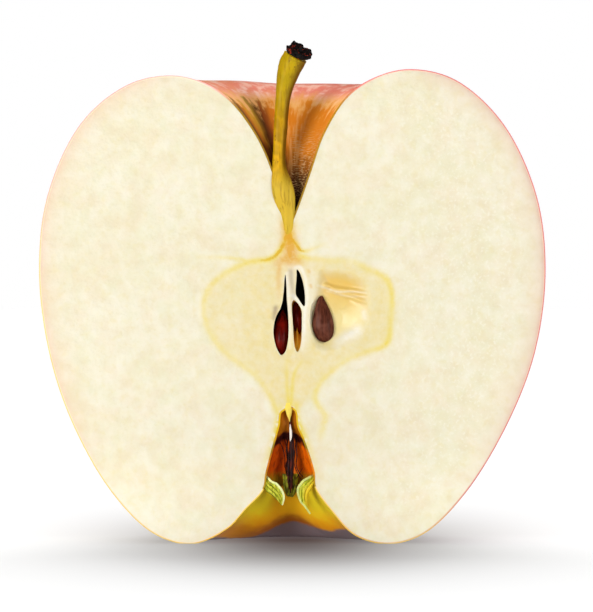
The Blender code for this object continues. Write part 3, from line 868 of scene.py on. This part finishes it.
def buildStem():
    path = smoothLine(stem["line"], 16)
    sides = stem["sides"]

    def fluted(radius, angles, path):
        turn = angles[None, :] + stem["twist"] * path[:, 2][:, None]
        depth = stem["fluteDepth"] * (1 + ease(path[:, 2], 59, 55))[:, None]
        return radius * (1 + depth * np.cos(stem["flutes"] * turn) + 0.6 * depth * np.cos(2 * turn + 1))

    verts = sweep(path, sides, fluted)[0].reshape(len(path), sides, 3)
    # the rings turn towards the scar's plane over the last stretch
    facing = np.array(stem["scarFacing"]) / np.linalg.norm(stem["scarFacing"])
    longAxis = np.array(stem["scarLong"]) / np.linalg.norm(stem["scarLong"])
    shortAxis = np.cross(facing, longAxis)
    middle = np.array(stem["scar"]) + (0, cutY, 0)
    angles = np.arange(sides) / sides * 2 * math.pi
    rim = middle + (longAxis * np.cos(angles)[:, None] * stem["scarSize"][0]
                    - shortAxis * np.sin(angles)[:, None] * stem["scarSize"][1])
    collar = []
    for share in np.linspace(0, 1, 9)[1:]:
        ring = verts[-1] * (1 - share) + (rim - facing * 0.1) * share
        outward = ring - ring.mean(axis=0)
        collar.append(ring + outward * 0.1 * math.sin(share * math.pi))
    # a crumbly crown on the scar
    for size in (1.03, 0.98, 0.86, 0.7, 0.52, 0.34, 0.17, 0.03):
        lift = stem["crownHeight"] * math.sin(min(1, (1.05 - size) * 3.2) * math.pi / 2)
        collar.append(middle + (rim - middle) * size + facing * lift)
    collar = np.array(collar)
    crown = ease(np.arange(len(collar)), 6, 9)[:, None]
    away = collar - middle
    away /= np.maximum(np.linalg.norm(away, axis=-1), 0.3)[..., None]
    flat = collar.reshape(-1, 3)
    lumps = (rough(flat, 1.3) + 0.6 * rough(flat, 3.1, 7)).reshape(-1, sides)
    collar += (0.6 * facing + away) * (stem["scarRagged"] * crown * lumps)[..., None]
    rows = len(verts) + len(collar)
    verts = np.concatenate([verts, collar])
    faces = tubeFaces(rows, sides)
    scar = ease(np.arange(rows), len(path) + 2, len(path) + 6)
    flat = verts.reshape(-1, 3)
    dents = rough(flat, 0.55) * 0.6 + rough(flat, 1.6, 5) * 0.4
    hub = np.repeat(verts.mean(axis=1), sides, axis=0)
    flat = flat + (flat - hub) * (stem["dents"] * dents)[:, None]
    values = {"scar": np.repeat(scar, sides), **stripShares(rows, sides)}
    piece = makePiece("stalk", flat, faces, stemFinish(), stripUvs(faces, values), values, sharp=60)
    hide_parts("stem")


def stripUvs(faces, values):
    # a strip unrolled along up and closed round turn, its caps as small discs beside it
    corners = []
    for face in faces:
        turn = values["turn"][list(face)]
        if len(face) == 4 and np.ptp(turn) > 0.5:
            turn = np.where(turn < 0.5, turn + 1, turn)
        up = values["up"][list(face)]
        if len(face) > 4:
            spin = turn * 2 * math.pi
            corners.append(chart((0.97, 0.04 + 0.9 * up.mean()), (0.02, 0.02), np.cos(spin), np.sin(spin)))
        else:
            corners.append(chart((0.01, 0.02), (0.9, 0.96), turn, up))
    return np.vstack(corners)


def stemFinish():
    look = {
        "olive": (166, 124, 0), "gold": (212, 160, 2), "lime": (164, 142, 0), "base": (200, 166, 44),
        "shade": (100, 66, 0), "speck": (90, 54, 8), "red": (196, 60, 36), "scar": (12, 5, 4),
        "light": 0.92,  # how much of all these the stalk gives back
    }
    bark = Finish("green stalk", look, {"IOR": 1.34, "Specular IOR Level": 0.25, "Subsurface Weight": 0.06,
                                        "Subsurface Scale": 0.0006})
    z = bark.parts()[2]
    fibres = bark.cloud(1.6, 3, bark.stretch((1.6, 1.6, 0.16)))
    patches = bark.cloud(0.35)
    bark.colour = bark.blend(patches.ease(0.38, 0.62), "olive", "gold")
    bark.layer(z.ease(66, 73) * 0.75, "lime")
    bark.layer(z.ease(61, 56), "base")
    bark.layer(fibres.ease(0.5, 0.72) * 0.45, "shade")
    # one side darker: painted shade
    side = bark.field("turn") * 2 * math.pi - 3.3
    bark.layer(side.math("COSINE", side).ease(0.35, 0.95) * z.ease(55, 61) * 0.9, "shade")
    specks = bark.cells(0.9)
    bark.layer(specks.ease(0.17, 0.1) * 0.55 * z.ease(57, 60), "speck")
    scar = bark.field("scar")
    scar = (scar + (bark.cloud(1.5, 2) - 0.5) * 0.5 * scar.ease(0, 0.2)).clipped()
    crust = bark.cloud(1.4, 3)
    dark = bark.blend(crust.ease(0.58, 0.68) * 0.8, "scar", "red")
    bark.layer(scar.ease(0.15, 0.5), dark)
    bark.layer(1 - look["light"], black)
    roughness = 0.5 + 0.2 * (fibres - 0.5) + 0.2 * scar
    bark.feed({"Roughness": roughness}, fibres * 0.6 + patches * 0.4 + crust * scar, 0.12)
    return bark


# each seed is a pod that narrows to the top and leans to one side
seeds = {
    "right": {"node": "seed_right", "middle": (4.72, 1, 35.75), "halves": (1.68, 1.05, 3.85),
              "lean": -0.3, "taper": 0.7},
    "left": {"node": "seed_left", "middle": (-1.86, 1.9, 33.4), "halves": (1.4, 1.75, 3.7),
             "lean": 0.25, "taper": 0.6},
    "middle": {"node": "seed_middle", "middle": (0.68, 2.3, 36.2), "halves": (0.86, 1.6, 3),
               "lean": -0.3, "taper": 0.5},
}


def buildSeed(name, seed, finish):
    rows, sides = 56, 72
    up = -np.cos(np.linspace(0, math.pi, rows))[:, None]
    angle = (np.arange(sides) / sides * 2 * math.pi)[None, :]
    ring = np.sqrt(np.maximum(1 - up ** 2, 0))
    narrow = (1 - seed["taper"] * ((up + 1) / 2) ** 1.5) / (1 - 0.28 * seed["taper"])
    x, behind, z = seed["middle"]
    wide, deep, tall = seed["halves"]
    veins = 1 + 0.012 * np.cos(11 * angle + 2 * up) + 0.008 * np.cos(23 * angle)
    ring = ring * narrow * veins
    spots = np.stack([
        x + ring * np.cos(angle) * wide + seed["lean"] * up,
        cutY + behind + ring * np.sin(angle) * deep,
        z + up * tall + 0 * angle], axis=-1)
    dents = rough(spots.reshape(-1, 3), 0.5, x).reshape(rows, sides)
    spots[..., 0] += 0.05 * dents
    values = stripShares(rows, sides)
    faces = gridFaces(rows, sides, wrap=True)
    piece = makePiece("pip_" + name, spots.reshape(-1, 3), faces, finish,
                      stripUvs(faces, values), values, weld=0.001)
    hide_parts(seed["node"])


def seedFinish(name, look):
    pip = Finish(name, look, {"IOR": 1.42, "Specular IOR Level": 0.05, "Coat Roughness": 0.3})
    streaks = pip.cloud(1.3, 2, pip.stretch((2.6, 2.6, 0.18)))
    patches = pip.cloud(0.5, 2)
    pip.colour = pip.blend(0.25 + 0.75 * streaks.ease(0.34, 0.6), "dark", "body")
    pip.layer(patches.ease(0.42, 0.66) * 0.6, "light")
    pip.feed({"Roughness": 0.36 + 0.2 * (streaks - 0.5), "Coat Weight": 0.08 * patches},
             streaks + 0.3 * pip.cloud(5, 1), 0.05)
    return pip


# the dry flower under the core
flower = {
    "sepals": {  # the inner and the outer edge of each leaf, root to tip, as (x, behind the cut, z)
        "right": ([(3.2, 1.3, 10.8), (2.3, 0.6, 10.4), (1.35, 0.35, 9.8), (0.75, 0.3, 8.9),
                   (0.72, 0.3, 7.8), (1.1, 0.35, 6.8), (1.85, 0.45, 5.85), (2.7, 0.7, 4.7)],
                  [(3.7, 1, 10.4), (3.6, 0.6, 9.8), (3.25, 0.5, 9.1), (2.75, 0.5, 8.4), (2.4, 0.6, 7.6),
                   (2.25, 0.65, 6.7), (2.4, 0.7, 5.7), (2.8, 0.75, 4.7)]),
        "left": ([(-4.1, 0.9, 10.6), (-3.3, 0.35, 9.85), (-2.4, 0.25, 9.4), (-1.75, 0.25, 8.6),
                  (-1.45, 0.3, 7.8), (-1.42, 0.35, 7), (-1.68, 0.5, 6.1)],
                 [(-4.5, 0.9, 9.9), (-4.5, 0.35, 9), (-4.15, 0.3, 8.3), (-3.5, 0.35, 7.8), (-2.9, 0.4, 7.3),
                  (-2.3, 0.45, 6.7), (-1.8, 0.5, 6.1)]),
        "middle": ([(-1.7, 2.6, 10.9), (-1.6, 2.2, 10.2), (-1.5, 1.8, 9.4), (-1.4, 1.6, 8.6),
                    (-1.2, 1.7, 7.9), (-0.9, 2, 7.4)],
                   [(0.8, 2.6, 10.9), (0.8, 2.1, 10.2), (0.75, 1.7, 9.4), (0.65, 1.5, 8.6), (0.4, 1.7, 7.9),
                    (0, 2, 7.3)]),
    },
    "thickness": 0.16, "folds": 0.13, "pleats": 3.4, "bulge": 0.2, "crumple": 0.06,
    "lip": 0.34, "lipAt": 0.06, "lipWidth": 0.07,  # the rolled edge of the outer two
    "strands": [  # the style's dark strands, as (x, behind the cut, z, radius)
        [(-0.5, 0.9, 20.2, 0.16), (-0.42, 0.7, 18.6, 0.26), (-0.3, 0.6, 16, 0.3), (-0.3, 0.6, 12.5, 0.26),
         (-0.35, 0.7, 9.2, 0.2), (-0.45, 0.8, 7.9, 0.06)],
        [(-0.4, 1, 19.4, 0.12), (-0.3, 0.9, 16.6, 0.2), (-0.7, 0.7, 13, 0.26), (-0.75, 0.8, 10.4, 0.2),
         (-0.6, 0.9, 8.6, 0.06)],
        [(-0.3, 1, 18.4, 0.1), (0.05, 0.9, 15.8, 0.15), (-0.02, 0.7, 12, 0.15), (-0.12, 0.8, 9.6, 0.1),
         (0, 0.9, 8.2, 0.04)],
        [(-0.7, 1.2, 17.2, 0.1), (-1, 1, 15.2, 0.13), (-0.85, 0.8, 13.4, 0.15), (-1.15, 0.9, 12, 0.13),
         (-0.95, 1, 10.6, 0.08)],
        [(-1.5, 1.6, 16.9, 0.08), (-1.1, 1.3, 15.4, 0.1), (-0.95, 1.2, 13.6, 0.1),
         (-0.75, 1.2, 11.8, 0.08)],
    ],
    "stamens": [
        [(0.55, 1.4, 17.3, 0.06), (0.5, 0.9, 15.6, 0.09), (0.62, 0.8, 13.8, 0.08), (0.5, 0.8, 12.4, 0.07),
         (0.95, 0.8, 11.3, 0.07), (1.6, 0.9, 10.5, 0.05)],
        [(0.5, 1.5, 17, 0.05), (0.3, 1, 14.6, 0.06), (0.2, 0.9, 12.6, 0.07), (0.7, 0.9, 11.2, 0.06),
         (1.35, 1, 10, 0.04)],
        [(1.6, 1.3, 12, 0.03), (1.2, 1, 11.4, 0.05), (0.8, 0.9, 10.7, 0.05), (0.4, 0.9, 10, 0.04)],
        [(-2.3, 1.6, 16.4, 0.05), (-1.7, 1.3, 15.2, 0.08), (-1.3, 1.2, 13.5, 0.07), (-1.35, 1.3, 12, 0.05)],
    ],
    "wedge": [(-0.7, 0.4, 22.3, 0.66), (-0.72, 0.4, 21.4, 0.56), (-0.66, 0.45, 20.5, 0.36),
              (-0.58, 0.5, 19.7, 0.14), (-0.54, 0.5, 19.3, 0.04)],
    "fibre": [(-0.45, 0.5, 18.9, 0.05), (-0.42, 0.35, 18.2, 0.16), (-0.36, 0.3, 17.3, 0.2),
              (-0.4, 0.4, 16.4, 0.12), (-0.42, 0.5, 15.6, 0.05)],
}


def buildSepals():
    finish = sepalFinish()
    names = {"right": "sepal_1", "middle": "sepal_2", "left": "sepal_3"}
    for number, (name, (inner, outer)) in enumerate(flower["sepals"].items()):
        first, second = smoothLine(inner, 10), smoothLine(outer, 10)
        rows, columns = len(first), 33
        share = np.linspace(0, 1, columns)[None, :, None]
        sheet = first[:, None] * (1 - share) + second[:, None] * share
        folds = np.cos(2 * math.pi * flower["pleats"] * share[..., 0] + np.linspace(0, 1.5, rows)[:, None])
        lip = np.exp(-((share[..., 0] - flower["lipAt"]) / flower["lipWidth"]) ** 2) * (name != "middle")
        width = np.linalg.norm(first - second, axis=1)[:, None]
        sheet[..., 1] += cutY - (flower["folds"] * folds + flower["lip"] * lip) * np.minimum(width, 1)
        sheet[..., 1] -= flower["bulge"] * width * np.sin(share[..., 0] * math.pi)
        sheet += flower["crumple"] * np.stack([
            rough(sheet.reshape(-1, 3), 1.1, seed).reshape(rows, columns) for seed in (1, 4, 8)], axis=-1)
        run, side = np.gradient(sheet, axis=0), np.gradient(sheet, axis=1)
        normal = np.cross(run, side)
        normal /= np.maximum(np.linalg.norm(normal, axis=-1), 1e-9)[..., None]
        half = flower["thickness"] / 2 * normal * (1 + lip)[..., None]
        verts = np.concatenate([(sheet + half).reshape(-1, 3), (sheet - half).reshape(-1, 3)])
        faces = sheetFaces(rows, columns)
        edge = np.tile(np.tile(share[0, :, 0], rows), 2)
        tip = np.tile(np.repeat(np.linspace(0, 1, rows), columns), 2)
        values = {"edge": edge, "tip": tip, "number": np.full(len(verts), number)}
        uvs = chart((0.02, 0.02), (0.45, 0.96), edge, tip)
        uvs[rows * columns:, 0] += 0.5  # the back lies beside the front
        corners = np.vstack([uvs[list(face)] for face in faces])
        piece = makePiece("calyx_leaf_" + name, verts, faces, finish, corners, values)
        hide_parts(names[name])


def sepalFinish():
    look = {
        "green": (150, 156, 24), "lime": (206, 206, 66), "dark": (56, 56, 6), "white": (228, 232, 160),
        "brown": (104, 70, 14), "gold": (226, 196, 36),
    }
    leaf = Finish("dry green sepal", look, {"IOR": 1.4, "Specular IOR Level": 0.3, "Subsurface Weight": 0.1,
                                            "Subsurface Scale": 0.0006})
    edge, tip, number = leaf.field("edge"), leaf.field("tip"), leaf.field("number")
    streaks = leaf.cloud(1.6, 3, leaf.stretch((2, 2, 0.6)))
    right, middle = number.ease(0.6, 0.4), number.ease(1.4, 1.6)
    left = 1 - right - middle
    pleat = edge * (2 * math.pi * flower["pleats"]) + tip * 1.5 + 2 * (streaks - 0.5)
    # dark in the valleys of the pleats: painted shade in the creases
    foldShade = pleat.math("COSINE", pleat).ease(0.1, -0.8)
    leaf.colour = leaf.blend(streaks.ease(0.4, 0.6), "green", "lime")
    leaf.layer(right * edge.ease(0.35, 0.85), "gold")
    leaf.layer(foldShade * (0.1 * right + 0.7 * left + 0.6 * middle), "dark")
    leaf.layer(middle * streaks.ease(0.42, 0.6) * 0.85, "dark")
    leaf.layer(edge.ease(0.26, 0.06) * (1 - 0.5 * right - middle), "white")
    leaf.layer(leaf.cloud(0.9).ease(0.58, 0.7) * 0.35 * (1 - right), "brown")
    leaf.feed({"Roughness": 0.5 + 0.1 * streaks}, streaks, 0.1)
    return leaf


def buildFlowerHeart():
    # the style's strands, the stamens, a pale fibre and a yellow wedge, as one dry tuft
    def knotted(radius, angles, path):
        lumps = np.array([noise.noise(Vector((x * 2, z * 1.3, 3))) for x, _, z, _ in path])
        return radius * (1 + 0.3 * lumps[:, None] + 0.12 * np.cos(3 * angles)[None, :])

    parts = []
    lines = [*flower["strands"], *flower["stamens"], flower["fibre"], flower["wedge"]]
    for number, line in enumerate(lines):
        path = smoothLine(line, 9)
        verts, faces = sweep(path, 10, knotted)
        # the fibre is 1 pale and the wedge 2
        pale = max(0, number - len(lines) + 3)
        values = {"pale": np.full(len(verts), pale), **stripShares(len(path), 10)}
        values["up"] = (number + values["up"] * 0.9) / len(lines)
        parts.append((verts, faces, values))
    verts, faces, values = joinParts(parts)
    piece = makePiece("flower_tuft", verts, faces, tuftFinish(), stripUvs(faces, values), values)
    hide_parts("pistil")


def tuftFinish():
    look = {"dark": (26, 5, 4), "red": (84, 26, 14), "pale": (236, 226, 214), "wedge": (232, 208, 92)}
    tuft = Finish("dry flower strands", look, {"IOR": 1.4, "Specular IOR Level": 0.15})
    streaks = tuft.cloud(1.5, 2, tuft.stretch((3, 3, 0.5)))
    tuft.colour = tuft.blend(streaks.ease(0.45, 0.7), "dark", "red")
    pale = tuft.field("pale")
    tuft.layer(pale.clipped(), "pale")
    tuft.layer((pale - 1).clipped(), "wedge")
    tuft.feed({"Roughness": 0.35 + 0.2 * streaks}, streaks, 0.05)
    return tuft


buildFlesh()
buildShell("peel", 0, mouthAt, 128, peelFinish(), 0.35)
buildShell("calyx_tube", mouthAt, len(along) - 1, 72, tubeFinish(), 0)
buildStem()
brownSeed = seedFinish("brown seed skin", {
    "body": (84, 42, 28), "light": (112, 66, 52), "dark": (44, 17, 10)})
redSeed = seedFinish("red seed skin", {"body": (80, 4, 0), "light": (116, 12, 1), "dark": (24, 1, 1)})
for name, seed in seeds.items():
    buildSeed(name, seed, brownSeed if name == "right" else redSeed)
buildSepals()
buildFlowerHeart()

studio = {
    "floor": 0.28, "glow": 0.6, "ambient": 0.15,
    # the painted shadow round the fruit's foot: reach to the side and forward, middle, depth, tint
    "shade": (19.5, 45), "shadeAt": 0.5, "shadeDepth": 0.82, "shadeUnder": 0.09,
    "shadeTint": (0.05, 0.003, 0, 1),
    # a fainter painted shadow behind: strength, reach to the side, where it sets in, where it ends
    "paintedShadowBehind": (0.28, 36, (-10, 24), (135, 25)),
    # two broad suns, over the back and over the front: the way each shines, how wide it looks, strength
    "suns": {"back": ((0, -0.7, -0.7), 52, 5.6), "front": ((0, 0.4, -0.9), 70, 0.35)},
    # soft boxes: place, width, power, tint
    "boxes": {
        "key": ((-0.4, -0.5, 0.05), 0.2, 3.8, (1, 0.99, 0.97)),
        "fill": ((0.5, -0.6, 0.03), 0.3, 4.2, (1, 1, 1)),
    },
    # the camera, straight in front of the cut; the lens takes in 97.14 mm there
    "distance": 500, "height": 37.7, "side": 0.56, "lens": 36 * 500 / 97.14,
}


def buildStudio():
    scene = bpy.context.scene
    scene.view_settings.view_transform = "Standard"
    world = bpy.data.worlds.new("white studio")
    world.use_nodes = True
    sky = world.node_tree.nodes["Background"]
    sky.inputs["Color"].default_value = white
    # the backdrop looks white and still lights the fruit only softly
    seen = world.node_tree.nodes.new("ShaderNodeLightPath")
    level = world.node_tree.nodes.new("ShaderNodeMapRange")
    level.inputs["To Min"].default_value = studio["ambient"]
    level.inputs["To Max"].default_value = 1
    world.node_tree.links.new(seen.outputs["Is Camera Ray"], level.inputs["Value"])
    world.node_tree.links.new(level.outputs["Result"], sky.inputs["Strength"])
    scene.world = world
    # the floor runs far out on every side
    data = bpy.data.meshes.new("studio_floor")
    data.from_pydata([(-40, -40, 0), (40, -40, 0), (40, 40, 0), (-40, 40, 0)], [], [(0, 1, 2, 3)])
    floor = bpy.data.objects.new("studio_floor", data)
    scene.collection.objects.link(floor)
    # white lit paper, with a painted shadow round the fruit's foot
    paper = Finish("white paper", {}, {
        "Roughness": 0.9, "Specular IOR Level": 0, "Emission Strength": studio["glow"]})
    x, y, _ = paper.parts()
    aside, behind = x - studio["shadeAt"], y - cutY
    wide, deep = studio["shade"]
    under = studio["shadeUnder"] * behind.ease(-3, 9) * y.ease(40, 22)
    shade = aside.bell(wide) * (studio["shadeDepth"] * behind.bell(deep) + under)
    strength, reach, near, far = studio["paintedShadowBehind"]
    paintedShadowBehind = strength * aside.bell(reach, 4) * behind.ease(*near) * behind.ease(*far)
    shade = shade + paintedShadowBehind * (1 - shade)
    paper.colour = paper.blend(shade, (*[studio["floor"]] * 3, 1), black)
    paper.feed({"Emission Color": paper.blend(shade, white, studio["shadeTint"])})
    data.materials.append(paper.material)
    hung = []
    for name, (way, wide, strength) in studio["suns"].items():
        sun = bpy.data.lights.new(name, "SUN")
        sun.angle, sun.energy = math.radians(wide), strength
        hung.append((sun, (0, 0, 0.5), Vector(way)))
    for name, (place, width, power, tint) in studio["boxes"].items():
        box = bpy.data.lights.new(name, "AREA")
        box.size, box.energy, box.color = width, power, tint
        hung.append((box, place, Vector((0, 0, 0.04)) - Vector(place)))
    for lamp, place, way in hung:
        light = bpy.data.objects.new(lamp.name, lamp)
        light.location = place
        light.rotation_euler = way.to_track_quat("-Z", "Y").to_euler()
        light.visible_camera = False
        light.visible_glossy = lamp.type != "SUN"
        scene.collection.objects.link(light)
    lens = bpy.data.cameras.new("camera")
    lens.lens = studio["lens"]
    lens.clip_start = 0.01
    camera = bpy.data.objects.new("camera", lens)
    camera.location = Vector((studio["side"], cutY - studio["distance"], studio["height"])) * mm
    camera.rotation_euler = (math.pi / 2, 0, 0)
    scene.collection.objects.link(camera)
    scene.camera = camera
    print("studio ready")


buildStudio()
